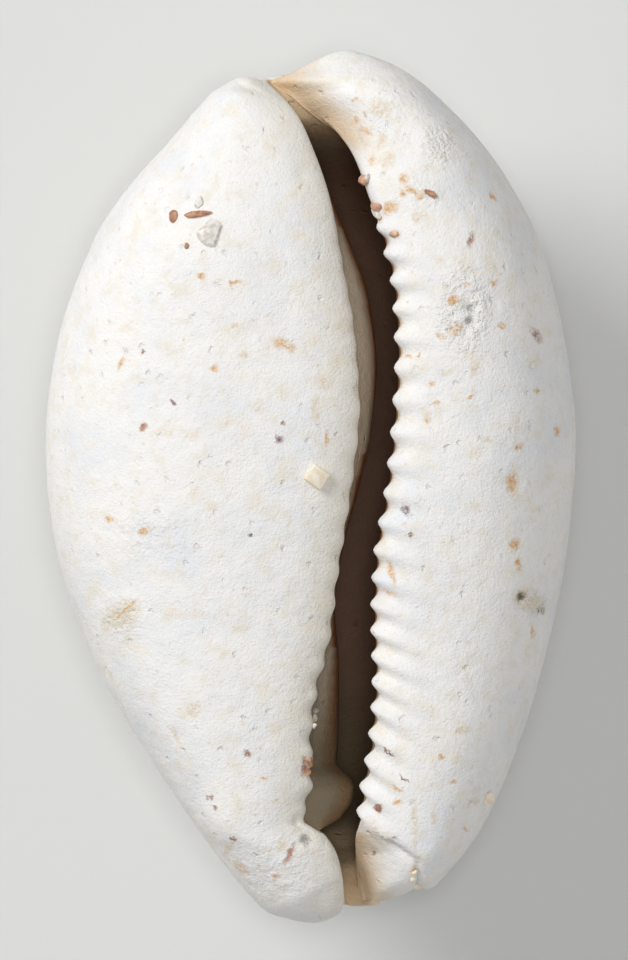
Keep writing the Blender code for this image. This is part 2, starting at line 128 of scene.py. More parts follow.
def backQuarter(start, end, steps, startIsTop):
    # round the back, meeting its lowest line square so that no crease runs there
    points = quarter(start, end, steps, shellForm["backRoundness"], startIsTop)
    turns = np.sin(np.linspace(0, math.pi / 2, steps + 1)[:-1]) ** 2
    points[:, 1] = start[1] + (end[1] - start[1]) * turns
    return points


def pick(path, places):
    # points of a path at fractional places
    numbers = np.arange(len(path))
    return np.stack([np.interp(places, numbers, path[:, axis]) for axis in range(3)], axis=1)


def runAlong(path):
    return np.concatenate([[0], np.cumsum(np.linalg.norm(np.diff(path, axis=0), axis=1))])


def evenSteps(path, steps):
    run = runAlong(path)
    places = np.linspace(0, run[-1], steps + 1)
    return np.stack([np.interp(places, run, path[:, axis]) for axis in range(3)], axis=1)


def evenQuarter(start, end, steps, roundness, startIsTop):
    finer = quarter(start, end, steps * 4, roundness, startIsTop)
    return evenSteps(np.vstack([finer, end]), steps)[:-1]


def lipRise(edge, crown, steps, canal):
    # a full round lip along the teeth, and an easier slope over the walls of the two canals
    share = np.linspace(0, 1, steps + 1)[:-1, None]
    slope = edge + (crown - edge) * share
    slope[:, 2] = edge[2] + (crown[2] - edge[2]) * np.sin(math.pi / 2 * share[:, 0])
    return quarter(edge, crown, steps, shellForm["lipRoundness"], False) * (1 - canal) + slope * canal


# the shell is one coiled wall, drawn as closed rings across its length
shellForm = {
    # ring steps from the outer lip round the back to the inner lip, and back along the inside
    "lipSteps": 22, "baseSteps": 36, "backSteps": 20,
    "whorlSteps": 40, "whorlTipSteps": 8, "whorlBackSteps": 20,
    "ceilingSteps": 10, "floorSteps": 20, "wallSteps": 28,
    "ringsPerTooth": 8, "frontRings": 62, "rearRings": 60, "rimRings": 4,
    "lipRoundness": 2.0, "baseRoundness": 2.35, "backRoundness": 2.1, "insideRoundness": 2.15,
    "widestCrown": 0.6,  # share of the way from a lip's edge to the shell's side
    "evened": ((-28.35, -26.5), (27.93, 26.6)),  # slit places towards each end where a ring's steps get even
    # share of the wall by which a canal rim is rounded, the most that may be, and the front one's facing
    "rimBulge": 0.22, "rimMost": 0.35, "rimFaces": (0, -1.0, 0.2),
    "mergeWithin": 5e-7,  # metres
}

# slit place, then points of the left side, the right side and the back's lowest line
outline = [
    (-28.35, (2.1, -28.6, 22.0), (4.7, -28.45, 21.2), (3.3, -28.6, 19.6)),
    (-28.15, (1.8, -29.4, 21.2), (5.9, -28.15, 20.7), (3.1, -28.5, 18.2)),
    (-27.6, (0.0, -30.05, 20.3), (7.2, -27.6, 20.1), (2.8, -28.2, 16.6)),
    (-26.7, (-2.7, -29.35, 19.4), (8.8, -26.95, 19.5), (2.4, -27.5, 14.6)),
    (-25.0, (-5.2, -27.0, 18.4), (10.8, -24.9, 18.7), (2.0, -25.8, 11.5)),
    (-22.3, (-8.2, -23.0, 17.6), (12.6, -21.9, 18.0), (1.6, -22.8, 8.0)),
    (-18.0, (-11.5, -17.9, 17.2), (14.2, -17.9, 17.6), (1.1, -18.2, 4.4)),
    (-12.5, (-14.6, -12.5, 17.0), (15.95, -12.5, 17.4), (0.7, -12.6, 1.7)),
    (-5.0, (-17.4, -5.0, 17.0), (17.55, -5.0, 17.2), (0.3, -5.0, 0.0)),
    (3.0, (-18.3, 3.0, 17.0), (18.25, 3.0, 17.0), (0.0, 3.0, -0.4)),
    (10.0, (-17.5, 10.2, 17.0), (17.5, 10.2, 17.0), (0.0, 10.0, 0.1)),
    (16.5, (-15.3, 16.6, 17.0), (15.9, 16.6, 17.0), (0.0, 17.2, 2.1)),
    (20.5, (-12.8, 20.6, 17.2), (14.0, 20.6, 17.1), (-0.2, 22.0, 4.7)),
    (23.6, (-10.0, 23.7, 17.6), (11.8, 23.8, 17.5), (-0.4, 25.3, 8.0)),
    (25.7, (-7.9, 26.2, 18.2), (9.3, 26.5, 18.2), (-0.7, 27.2, 11.3)),
    (26.9, (-6.5, 27.6, 19.0), (6.7, 28.6, 19.0), (-1.0, 28.2, 14.4)),
    (27.5, (-5.5, 28.15, 19.8), (4.2, 29.8, 19.8), (-1.4, 28.5, 16.9)),
    (27.8, (-4.5, 28.35, 20.6), (1.9, 30.1, 20.6), (-1.9, 28.35, 18.6)),
    (27.93, (-3.4, 27.95, 21.4), (-1.8, 28.4, 20.9), (-2.7, 27.9, 19.7)),
]
# slit places of the rings in front of and behind the teeth, closer together towards the rims
frontPlaces = [-28.35, -28.3, -28.2, -28.02, -27.75, -27.35, -26.85, -26.25, -25.6, -24.9, -24.2, -23.55]
rearPlaces = [20.0, 21.3, 22.5, 23.6, 24.6, 25.5, 26.2, 26.7, 27.05, 27.35, 27.55, 27.7, 27.8, 27.87, 27.93]

innerLip = {
    # its edge, the level of its crown, and how far the crown is from the edge
    "x": [(-28.35, 2.3), (-27.1, 2.2), (-25.5, 1.9), (-23.8, 1.0), (-22.9, -0.4), (-22.2, -0.5),
          (-20.5, 0.0), (-17.2, 0.0), (-13.9, 0.35), (-10.6, 1.2), (-5.7, 1.85), (-0.7, 2.65), (5.5, 3.3),
          (10.9, 2.95), (15.2, 2.2), (19.9, 1.3), (23.4, 0.1), (25.4, -0.8), (26.6, -1.7), (27.93, -3.0)],
    "z": [(-28.35, 23.2), (-27.6, 24.0), (-26.0, 24.6), (-22.0, 25.1), (-10.0, 25.9), (5.0, 26.6),
          (15.0, 26.4), (22.0, 25.6), (26.0, 24.6), (27.4, 23.4), (27.93, 21.9)],
    "crownZ": [(-28.35, 23.5), (-27.0, 24.9), (-24.0, 26.1), (-20.0, 26.8), (-10.0, 27.6), (5.0, 28.4),
               (15.0, 28.2), (22.0, 26.9), (25.5, 25.6), (27.0, 24.4), (27.6, 23.3), (27.93, 22.1)],
    "crownWidth": [(-28.35, 0.3), (-26.5, 1.9), (-22.0, 4.6), (-10.0, 6.2), (5.0, 7.0), (15.0, 6.4),
                   (24.0, 3.8), (26.6, 2.4), (27.5, 1.4), (27.93, 0.4)],
}
outerLip = {
    # the line halfway between the tips of the teeth and their grooves; in the canals, the crest of the wall
    "x": [(-28.35, 3.8), (-27.0, 3.45), (-25.6, 3.1), (-24.2, 3.05), (-23.0, 3.3), (-20.5, 3.6), (-17.0, 4.2),
          (-13.0, 4.45), (-9.0, 4.35), (-5.0, 4.5), (0.0, 5.3), (4.3, 5.75), (9.0, 6.0), (13.4, 5.8),
          (16.7, 5.1), (20.0, 4.0), (22.9, 2.9), (24.6, 1.7), (25.6, 0.6), (26.4, -0.4), (27.2, -1.3),
          (27.93, -2.4)],
    "z": [(-28.35, 20.6), (-27.0, 20.9), (-25.6, 21.4), (-24.3, 22.9), (-23.0, 24.6), (-10.0, 25.9),
          (5.0, 26.6), (15.0, 26.5), (20.0, 25.6), (22.8, 24.4), (24.6, 22.6), (25.6, 21.6), (26.6, 21.3),
          (27.4, 21.1), (27.93, 21.0)],
    "crownZ": [(-28.35, 21.4), (-27.6, 23.4), (-26.5, 24.9), (-25.0, 25.9), (-23.0, 26.4), (-10.0, 27.3),
               (5.0, 28.0), (15.0, 27.9), (20.0, 27.3), (23.0, 26.6), (25.0, 25.8), (26.3, 25.0),
               (27.3, 23.4), (27.93, 21.2)],
    "crownWidth": [(-28.35, 0.6), (-27.2, 3.8), (-25.3, 4.6), (-22.5, 3.6), (-10.0, 3.2), (15.0, 3.2),
                   (20.0, 3.5), (23.5, 4.6), (26.5, 5.2), (27.93, 0.6)],
    "canal": [(-26.5, 0.85), (-25.0, 0.6), (-23.2, 0.0), (21.0, 0.0), (24.5, 0.7), (26.0, 0.95)],
    "undercut": [(-27.0, -0.25), (-25.4, 0.0), (-23.2, 1.6), (22.0, 1.6), (24.6, 0.0), (26.0, -0.3),
                 (27.2, -0.15), (27.93, 0.0)],
    "wallDepth": 5.3, "swell": 0.35,
    "tanAndShadowRun": (4.4, 0.4),  # how far onto the base a canal's tan and painted shadow reach, and where they are full
}
hollow = {
    # its sides and their level, and its lowest line
    "leftX": [(-28.35, 2.4), (-27.2, 1.9), (-26.0, 1.3), (-24.0, -1.2), (-21.0, -5.2), (-15.0, -10.3),
              (-8.0, -13.4), (3.0, -15.4), (10.0, -14.6), (16.0, -12.2), (21.0, -8.2), (23.6, -4.2),
              (25.2, -1.6), (26.5, -1.9), (27.93, -2.95)],
    "rightX": [(-28.35, 3.7), (-27.0, 3.4), (-26.0, 3.1), (-25.0, 3.3), (-24.2, 4.8), (-23.0, 8.0),
               (-21.0, 10.4), (-15.0, 12.4), (-8.0, 13.9), (3.0, 15.2), (10.0, 14.5), (16.0, 12.6),
               (21.0, 9.2), (22.8, 6.2), (23.8, 3.2), (24.6, 1.7), (25.6, 0.3), (26.4, -0.7), (27.2, -1.5),
               (27.93, -2.5)],
    "sideZ": [(-28.35, 20.5), (-27.0, 20.4), (-26.0, 20.0), (-24.5, 18.6), (-22.0, 17.8), (-10.0, 16.2),
              (10.0, 16.2), (20.0, 17.2), (24.0, 19.3), (25.4, 20.9), (26.6, 21.1), (27.93, 20.8)],
    "floorX": [(-28.35, 3.0), (-26.0, 2.2), (-24.0, 2.9), (-15.0, 1.5), (5.0, 0.0), (20.0, 0.2),
               (24.0, 0.6), (26.4, -1.2), (27.93, -2.72)],
    "floorZ": [(-28.35, 20.3), (-27.2, 19.9), (-26.2, 19.2), (-24.5, 15.6), (-22.0, 11.8), (-18.0, 7.6),
               (-12.5, 4.4), (-5.0, 2.6), (3.0, 2.2), (10.0, 2.6), (16.5, 5.0), (20.5, 8.6), (22.6, 12.4),
               (23.8, 16.6), (24.7, 19.4), (25.5, 20.6), (26.5, 20.85), (27.93, 20.5)],
    "ceilingDrop": 4.6, "ceilingOver": 0.2, "ceilingIn": (0.64, 0.96), "lipGap": 0.05,
    # how fast the hollow's brown and its painted shade deepen from the outer lip inwards, slowest in the
    # canals
    "darkens": [(-28.0, 0.12), (-25.0, 0.3), (-22.0, 0.9), (20.0, 0.9), (24.0, 0.4), (27.0, 0.15)],
}
innerWhorl = {
    # how far it bulges into the slit, the level of its shoulder, the coil's size and the share of its turn
    "x": [(-25.0, 1.2), (-23.5, 1.4), (-22.6, 2.0), (-21.6, 2.7), (-20.7, 2.9), (-20.0, 2.7), (-19.4, 2.1),
          (-18.8, 1.75), (-17.0, 1.85), (-12.0, 1.9), (-8.0, 1.6),
          (-4.0, 2.2), (0.0, 3.3), (4.0, 4.15), (8.4, 4.5), (13.3, 3.9), (17.5, 2.4), (21.0, 0.9),
          (24.0, -0.6), (26.0, -1.6)],
    "z": [(-25.0, 22.2), (-21.0, 22.5), (-19.9, 21.9), (-18.7, 20.4), (-10.0, 20.9), (-2.0, 22.1),
          (10.0, 22.4), (18.0, 22.0), (26.0, 22.2)],
    "size": [(-24.2, 0.3), (-21.8, 0.36), (-15.0, 0.75), (-6.0, 1.0), (10.0, 1.0), (17.0, 0.72),
             (20.5, 0.5), (24.0, 0.34)],
    "reach": [(-24.0, 0.5), (-21.5, 0.56), (-16.5, 1.0), (15.0, 1.0), (20.0, 0.6), (23.5, 0.46)],
    "ends": ((-24.6, -22.7), (25.2, 21.8)),
    "wall": 1.2, "thinnest": 0.06, "facePoints": 71, "tipRun": 3,
    # corners of its face: left of the lip's edge (mm) and down by a share of the drop to the shoulder, then
    # left of the shoulder and down from it (mm, for a coil of size 1)
    "brow": [(0, 0), (0.2, 0.35), (0.05, 0.78)],
    "coil": [(0, 1.7), (0.6, 5.2), (4.6, 8.6), (9.6, 8.2), (13.0, 4.4)],
}
teeth = {
    "count": 22,
    "places": [(-1, 19.6), (0, 17.85), (4, 10.35), (8, 1.75), (12, -6.1), (17, -15.0), (21, -22.1),
               (22, -23.7)],
    "height": 0.62, "sharpness": 1.08, "intoSlit": 1.5,
    "fades": (0.9, 0.3),  # teeth past the first and last where the row starts to show, and is all there
    # how far each ridge runs onto the base, and how steeply it slants forwards there
    "ontoBase": [(-24.0, 2.6), (-12.0, 2.7), (-3.0, 2.2), (6.0, 1.9), (20.0, 1.4)],
    "slant": [(-24.0, 0.62), (-14.0, 0.45), (-5.0, 0.25), (6.0, 0.1), (20.0, 0.0)],
    "knobHeight": [(-22.0, 0.3), (-14.0, 0.26), (-5.0, 0.16), (6.0, 0.1), (18.0, 0.04)], "knobReach": 0.9,
    "slantedRun": 6,  # how far from the edge the slant holds
    # cream tone with painted shade in the grooves of the outer and the inner lip, and in a band along the
    # inner lip: how much, and how far it reaches
    "outerCreamAndShade": (0.55, 1.4), "innerCreamAndShade": (1.0, 1.6), "bandCreamAndShade": (0.75, 3.4),
}


def toothWave(y):
    # 1 on a tooth and 0 in a groove, and how much of the row is there
    numbers = np.linspace(-1, teeth["count"], 12 * teeth["count"])
    number = np.interp(-y, -throughKeys(teeth["places"], numbers), numbers)
    wave = (0.5 + 0.5 * np.cos(2 * math.pi * number)) ** teeth["sharpness"]
    last = teeth["count"]
    beyond, within = teeth["fades"]
    fade = smoothStep(-beyond, within, number) * smoothStep(last - within, last - beyond, number)
    return wave * fade, fade


def outsidePath(y, left, right, back):
    # from the outer lip's edge over its crown, round the back and up over the inner lip to its edge
    outerEdge = np.array([throughKeys(outerLip["x"], y), y, throughKeys(outerLip["z"], y)])
    innerEdge = np.array([throughKeys(innerLip["x"], y), y, throughKeys(innerLip["z"], y)])
    form = shellForm
    crowns = []
    for edge, side, lip in ((outerEdge, right, outerLip), (innerEdge, left, innerLip)):
        reach = side[:2] - edge[:2]
        share = min(throughKeys(lip["crownWidth"], y) / np.linalg.norm(reach), form["widestCrown"])
        crowns.append(np.append(edge[:2] + reach * share, throughKeys(lip["crownZ"], y)))
    outerCrown, innerCrown = crowns
    return np.vstack([
        lipRise(outerEdge, outerCrown, form["lipSteps"], throughKeys(outerLip["canal"], y)),
        evenQuarter(outerCrown, right, form["baseSteps"], form["baseRoundness"], True),
        backQuarter(right, back, form["backSteps"], False),
        backQuarter(back, left, form["backSteps"], True),
        evenQuarter(left, innerCrown, form["baseSteps"], form["baseRoundness"], False),
        quarter(innerCrown, innerEdge, form["lipSteps"], form["lipRoundness"], True),
        innerEdge[None],
    ])


def whorlHook(y, innerEdge):
    # down the inner whorl's face, round its free end and back up behind it
    bulgeX, bulgeZ = throughKeys(innerWhorl["x"], y), throughKeys(innerWhorl["z"], y)
    size = throughKeys(innerWhorl["size"], y)
    edgeX, edgeZ = innerEdge[0], innerEdge[2]
    drop = edgeZ - bulgeZ
    corners = [
        *((edgeX - across, edgeZ - share * drop) for across, share in innerWhorl["brow"]),
        ((edgeX + bulgeX) / 2, bulgeZ),
        *((bulgeX - across * size, bulgeZ - down * size) for across, down in innerWhorl["coil"]),
    ]
    last = innerWhorl["facePoints"] - 1
    curve = np.insert(roundCurve(corners, np.linspace(0, len(corners) - 1, last + 1)), 1, y, axis=1)
    face = evenSteps(curve, last)
    run = runAlong(curve)
    nose = last * run[last // 2] / run[-1]  # the middle corner, where the face turns down
    along = np.gradient(face, axis=0)
    along /= np.linalg.norm(along, axis=1)[:, None]
    inward = np.column_stack([along[:, 2], np.zeros(len(along)), -along[:, 0]])
    behind = face + inward * innerWhorl["wall"] * min(innerWhorl["thinnest"] + size, 1)
    end = throughKeys(innerWhorl["reach"], y) * last
    beforeEnd = end - innerWhorl["tipRun"]
    form = shellForm
    front = pick(face, np.linspace(0, beforeEnd, form["whorlSteps"] + 1))
    rear = pick(behind, np.linspace(beforeEnd, min(nose, beforeEnd - 1), form["whorlBackSteps"] + 1))
    tip = (pick(face, [end]) + pick(behind, [end])) / 2
    turn = np.vstack([front[-1:], tip, rear[:1]])
    turn = roundCurve(turn, np.linspace(0, 2, form["whorlTipSteps"] + 1))
    bulgePlace = runAlong(face)[np.argmax(face[: last // 2, 0])]
    return np.vstack([front[:-1], turn[:-1], rear]), bulgePlace


def insidePath(y, outerEdge, innerEdge):
    # round the inner whorl and the hollow, back to the outer lip's edge
    sideZ, floorZ = throughKeys(hollow["sideZ"], y), throughKeys(hollow["floorZ"], y)
    left = np.array([throughKeys(hollow["leftX"], y), y, sideZ])
    right = np.array([throughKeys(hollow["rightX"], y), y, sideZ])
    floor = np.array([throughKeys(hollow["floorX"], y), y, floorZ])
    (frontOut, frontIn), (rearOut, rearIn) = innerWhorl["ends"]
    coiled = min(smoothStep(frontOut, frontIn, y), smoothStep(rearOut, rearIn, y))
    hook, bulgePlace = whorlHook(y, innerEdge)
    size = throughKeys(innerWhorl["size"], y)
    shoulder = throughKeys(innerWhorl["z"], y)
    ceilingZ = min(innerEdge[2] - hollow["ceilingDrop"], shoulder + hollow["ceilingOver"])
    least, perSize = hollow["ceilingIn"]
    hook[-1] = (innerEdge[0] - least - perSize * size, y, ceilingZ)
    canalWall = np.linspace(innerEdge, left, len(hook) + 1)[:-1]
    hook = canalWall + (hook - canalWall) * coiled
    lipFoot = outerEdge + np.array([throughKeys(outerLip["undercut"], y), 0, -outerLip["wallDepth"]])
    lipFoot[2] = max(lipFoot[2], (right[2] + outerEdge[2]) / 2)
    lipFoot[0] = min(lipFoot[0], right[0] - hollow["lipGap"])
    form = shellForm
    share = np.linspace(0, 1, form["wallSteps"] + 1)
    swell = outerLip["swell"] * np.sin(math.pi * share) * coiled
    wall = np.column_stack([
        lipFoot[0] + (outerEdge[0] - lipFoot[0]) * np.sqrt(share) - swell,
        np.full(len(share), y),
        lipFoot[2] + (outerEdge[2] - lipFoot[2]) * share,
    ])
    roundness = form["insideRoundness"]
    path = np.vstack([
        hook[:-1],
        quarter(hook[-1], left, form["ceilingSteps"], roundness, True),
        quarter(left, floor, form["floorSteps"], roundness, False),
        quarter(floor, right, form["floorSteps"], roundness, True),
        quarter(right, lipFoot, form["ceilingSteps"], roundness, False),
        wall,
    ])
    return path, bulgePlace, coiled


def toothedRing(ring, y, steps):
    # pushes teeth out of the outer lip and weaker knobs out of the inner lip
    closedSteps = np.linalg.norm(np.diff(np.vstack([ring, ring[:1]]), axis=0), axis=1)
    run = np.concatenate([[0], np.cumsum(closedSteps)])[: len(ring)]
    total = closedSteps.sum()
    ahead = np.roll(ring, -1, axis=0) - np.roll(ring, 1, axis=0)
    normal = np.column_stack([-ahead[:, 2], np.zeros(len(ring)), ahead[:, 0]])
    normal /= np.maximum(np.linalg.norm(normal, axis=1), 1e-9)[:, None]
    ontoBase = run / throughKeys(teeth["ontoBase"], y)
    intoSlit = (total - run) / teeth["intoSlit"]
    slanted = ring[:, 1] + throughKeys(teeth["slant"], y) * np.minimum(run, teeth["slantedRun"])
    wave, fade = toothWave(np.where(run < total / 2, slanted, ring[:, 1]))
    tooth = teeth["height"] * np.exp(-np.minimum(ontoBase, intoSlit) ** 2)
    knob = throughKeys(teeth["knobHeight"], y) * np.exp(-((run - run[steps]) / teeth["knobReach"]) ** 2)
    fromInner = np.abs(run - run[steps])
    # cream tone with painted shade: in the grooves between teeth and knobs, and in a band along the inner lip
    outer, inner, band = (most * np.exp(-(away / reach) ** 2) for away, (most, reach) in (
        (run, teeth["outerCreamAndShade"]), (fromInner, teeth["innerCreamAndShade"]), (fromInner, teeth["bandCreamAndShade"])))
    groove = np.maximum((fade - wave) * (outer + inner), band)
    return ring + normal * ((tooth + knob) * (wave - 0.5 * fade))[:, None], run, total, groove


def spread(places, count):
    # more places between the ones given
    return np.interp(np.linspace(0, len(places) - 1, count), np.arange(len(places)), places)


def shellRings():
    form = shellForm
    numbers = np.arange(-0.5, teeth["count"] - 0.5 + 1e-6, 1 / form["ringsPerTooth"])
    stations = np.concatenate([
        spread(frontPlaces, form["frontRings"]),
        throughKeys(teeth["places"], numbers)[::-1],
        spread(rearPlaces, form["rearRings"]),
    ])
    slitPlaces = [key[0] for key in outline]
    sides = [[key[column] for key in outline] for column in (1, 2, 3)]
    rings, fields = [], []
    for y in stations:
        place = np.atleast_1d(throughKeys(list(zip(slitPlaces, range(len(outline)))), y))
        left, right, back = (roundCurve(side, place)[0] for side in sides)
        outside = outsidePath(y, left, right, back)
        inside, bulgePlace, coiled = insidePath(y, outside[0], outside[-1])
        steps = len(outside) - 1
        ends = 1 - min(smoothStep(*towards, y) for towards in form["evened"])
        outside = outside + (evenSteps(outside, steps) - outside) * ends
        inside = inside + (evenSteps(inside, steps) - inside) * ends
        ring, run, total, groove = toothedRing(np.vstack([outside[:-1], inside[:-1]]), y, steps)
        ring[:, 2] = np.maximum(ring[:, 2], 0)
        fromInner = np.maximum(run - run[steps], 0)
        fromOuter = total - run
        # how far in: deepens the hollow's brown, partly as painted shade
        inward = np.minimum(fromInner / max(bulgePlace, 1), fromOuter * throughKeys(hollow["darkens"], y))
        inward[: steps + 1] = 0
        # tan on the canal walls and on the outer lobe's slope by the lip: a stain with the inner lobe's
        # shadow painted in
        slope = smoothStep(*outerLip["tanAndShadowRun"], run) * smoothStep(0.0, 1.0, (1 - coiled) * 1.2)
        fields.append((np.minimum(inward, 2), groove, np.where(inward > 0, 1 - coiled, slope)))
        rings.append(ring)
    return np.array(rings), np.array(fields).transpose(1, 0, 2)


weathering = {
    "swell": 0.07, "swellSize": 7.0,  # mm, slow unevenness of the whole outside
    "baseFrom": (15.0, 17.5),  # mm up, where the sides turn into the base
    # rough, etched places: across, along, half width, half length, depth, size of the lumps
    "patches": [
        (10.3, 12.2, 1.7, 2.8, 0.22, 0.75), (8.6, 23.6, 1.3, 1.3, 0.16, 0.8),
        (4.6, 25.4, 1.7, 2.2, 0.1, 0.65), (-11.2, -3.0, 3.2, 1.8, 0.07, 0.9),
        (-13.0, -8.7, 1.8, 1.5, 0.09, 0.6), (15.1, -7.9, 1.3, 1.0, 0.16, 0.55),
        (7.0, 20.0, 1.8, 1.4, 0.08, 0.6), (12.0, -20.5, 1.8, 1.6, 0.06, 0.7),
        (-3.0, -26.0, 3.0, 2.4, 0.06, 0.7), (0.7, -23.6, 1.5, 1.2, 0.05, 0.5),
    ],
    "lumpLevel": 0.25,  # lumps lower than this are dents
    "fullyEtched": 0.16,  # depth at which a patch is rough all over
    # single pits: across, along, radius, depth
    "pits": [
        (-0.34, -24.15, 0.34, 0.34), (14.4, -7.4, 0.36, 0.2), (15.8, -8.4, 0.32, 0.2),
        (10.95, 12.3, 0.38, 0.24), (10.9, 11.3, 0.3, 0.18), (-4.1, -3.2, 0.26, 0.14),
        (4.35, -25.1, 0.26, 0.14), (-9.4, -16.7, 0.3, 0.12), (-9.2, -17.2, 0.3, 0.12),
        (13.8, 0.35, 0.6, 0.1), (6.5, -1.5, 0.36, 0.12),
    ],
    # and many more anywhere: how many, then the ranges of the same four
    "scattered": 90, "scatter": ((-18, 18), (-29, 29), (0.28, 0.5), (0.03, 0.09)), "seed": 11,
    # creases: their depth and half width, then the points they run through; the lip swells beside the first
    "creases": [
        (0.34, 0.26, [(5.5, -24.3), (6.4, -24.95), (7.25, -25.6), (7.5, -26.5), (7.4, -27.6)]),
        (0.2, 0.22, [(-0.95, -22.75), (-1.2, -23.3), (-1.25, -23.9), (-0.85, -24.4)]),
        (0.05, 0.2, [(-1.9, 16.5), (-0.3, 16.1), (1.7, 15.4)]),
    ],
    "callus": (0.3, 0.5, 0.9),  # height of that swelling, how far off it is highest, and how far it spreads
}


def distanceToLine(x, y, line):
    # distance to a line through points, and on which side of it
    best, side = np.full(x.shape, 1e9), np.zeros(x.shape)
    for (ax, ay), (bx, by) in zip(line, line[1:]):
        dx, dy = bx - ax, by - ay
        share = np.clip(((x - ax) * dx + (y - ay) * dy) / (dx * dx + dy * dy), 0, 1)
        away = np.hypot(x - ax - dx * share, y - ay - dy * share)
        nearer = away < best
        best = np.where(nearer, away, best)
        side = np.where(nearer, np.sign(dx * (y - ay) - dy * (x - ax)), side)
    return best, side


def weathered(rings, steps):
    # dents, rough patches and creases, along the surface's own direction
    along = np.gradient(rings, axis=0)
    around = (np.roll(rings, -1, axis=1) - np.roll(rings, 1, axis=1)) / 2
    normal = np.cross(along, around)
    normal /= np.maximum(np.linalg.norm(normal, axis=2), 1e-9)[..., None]
    flip = np.sign(normal[len(rings) // 2, steps // 4, 2])
    normal *= flip
    x, y, z = rings[..., 0], rings[..., 1], rings[..., 2]
    outside = np.zeros(x.shape)
    outside[:, 1:steps] = 1
    onBase = outside * smoothStep(*weathering["baseFrom"], z)
    push = np.zeros(x.shape)
    for i, j in np.argwhere(outside > 0):
        place = Vector(rings[i, j]) / weathering["swellSize"]
        push[i, j] = weathering["swell"] * noise.fractal(place, 0.8, 2.1, 3)
    etched = np.zeros(x.shape)
    for px, py, wide, long, depth, size in weathering["patches"]:
        amount = onBase * np.exp(-(((x - px) / wide) ** 2 + ((y - py) / long) ** 2) ** 1.5)
        for i, j in np.argwhere(amount > 0.04):
            lump = noise.fractal(Vector(rings[i, j]) / size + Vector((7, 3, 0)), 0.7, 2.1, 3)
            push[i, j] += depth * amount[i, j] * (lump - weathering["lumpLevel"])
        etched += amount * depth / weathering["fullyEtched"]
    random = np.random.default_rng(weathering["seed"])
    scattered = np.column_stack([
        random.uniform(*limits, weathering["scattered"]) for limits in weathering["scatter"]])
    for px, py, radius, depth in [*weathering["pits"], *scattered]:
        push -= onBase * depth * np.exp(-((x - px) ** 2 + (y - py) ** 2) / radius ** 2)
    for number, (depth, wide, line) in enumerate(weathering["creases"]):
        away, side = distanceToLine(x, y, line)
        push -= onBase * depth * np.exp(-(away / wide) ** 2)
        if number == 0:
            rise, top, reach = weathering["callus"]
            push += onBase * rise * np.where(side > 0, np.exp(-((away - top) / reach) ** 2), 0)
    return rings + normal * push[..., None], np.minimum(etched, 1)


def rimRings(ring, outward):
    # rings that round a canal rim over from its outside to its inside and meet in the middle of the wall
    partner = ring[-np.arange(len(ring))]
    thick = np.linalg.norm(ring - partner, axis=1)[:, None]
    bulge, most = shellForm["rimBulge"], shellForm["rimMost"]
    rings = []
    for step in range(1, shellForm["rimRings"] + 1):
        angle = math.pi / 2 * step / shellForm["rimRings"]
        closing = 0.5 * (1 - math.cos(angle))
        rings.append(ring + (partner - ring) * closing
                     + outward * np.minimum(thick * bulge, most) * math.sin(angle))
    return rings


def addShell():
    rings, fields = shellRings()
    form = shellForm
    rings, etched = weathered(rings, 2 * (form["lipSteps"] + form["baseSteps"] + form["backSteps"]))
    fields = np.concatenate([fields, etched[None]])
    forward = np.array(form["rimFaces"])
    front, rear = rimRings(rings[0], forward), rimRings(rings[-1], -forward * (1, 1, -1))
    rings = np.concatenate([front[::-1], rings, rear])
    pad = form["rimRings"]
    fields = np.pad(fields, ((0, 0), (pad, pad), (0, 0)), mode="edge")
    ringCount, around = rings.shape[:2]
    bpy.ops.mesh.primitive_grid_add(x_subdivisions=around, y_subdivisions=ringCount - 1, size=2)
    piece = bpy.context.object
    piece.name = piece.data.name = "cowrieShell"
    flat = np.empty(len(piece.data.vertices) * 3)
    piece.data.vertices.foreach_get("co", flat)
    flat = flat.reshape(-1, 3)
    column = np.rint((flat[:, 0] + 1) / 2 * around).astype(int) % around
    row = np.rint((flat[:, 1] + 1) / 2 * (ringCount - 1)).astype(int)
    piece.data.vertices.foreach_set("co", (rings[row, column] * mm).ravel())
    for name, field in zip(("inward", "groove", "canal", "etched"), fields):
        attribute = piece.data.attributes.new(name, "FLOAT", "POINT")
        attribute.data.foreach_set("value", field[row, column])
    bpy.ops.object.mode_set(mode="EDIT")
    bpy.ops.mesh.select_all(action="SELECT")
    bpy.ops.mesh.remove_doubles(threshold=form["mergeWithin"])
    bpy.ops.mesh.normals_make_consistent(inside=False)
    bpy.ops.object.mode_set(mode="OBJECT")
    bpy.ops.object.shade_smooth()
    return piece


bpy.ops.object.select_all(action="DESELECT")
shell = addShell()
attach(shell, "root")
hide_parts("shell")
print("shell modelled,", len(shell.data.polygons), "faces")


def rgb(code):
    # sRGB hex to linear, with alpha
    parts = [int(code[i:i + 2], 16) / 255 for i in (1, 3, 5)]
    return (*[c / 12.92 if c <= 0.04045 else ((c + 0.055) / 1.055) ** 2.4 for c in parts], 1)


def addNode(tree, kind, inputs=None, **settings):
    # each input is a value, or a socket to link
    node = tree.nodes.new(kind)
    for name, value in settings.items():
        setattr(node, name, value)
    for socket, value in (inputs or {}).items():
        if isinstance(value, bpy.types.NodeSocket):
            tree.links.new(value, node.inputs[socket])
        else:
            node.inputs[socket].default_value = value
    return node


def newMaterial(name):
    material = bpy.data.materials.new(name)
    material.use_nodes = True
    return material, material.node_tree, material.node_tree.nodes["Principled BSDF"]


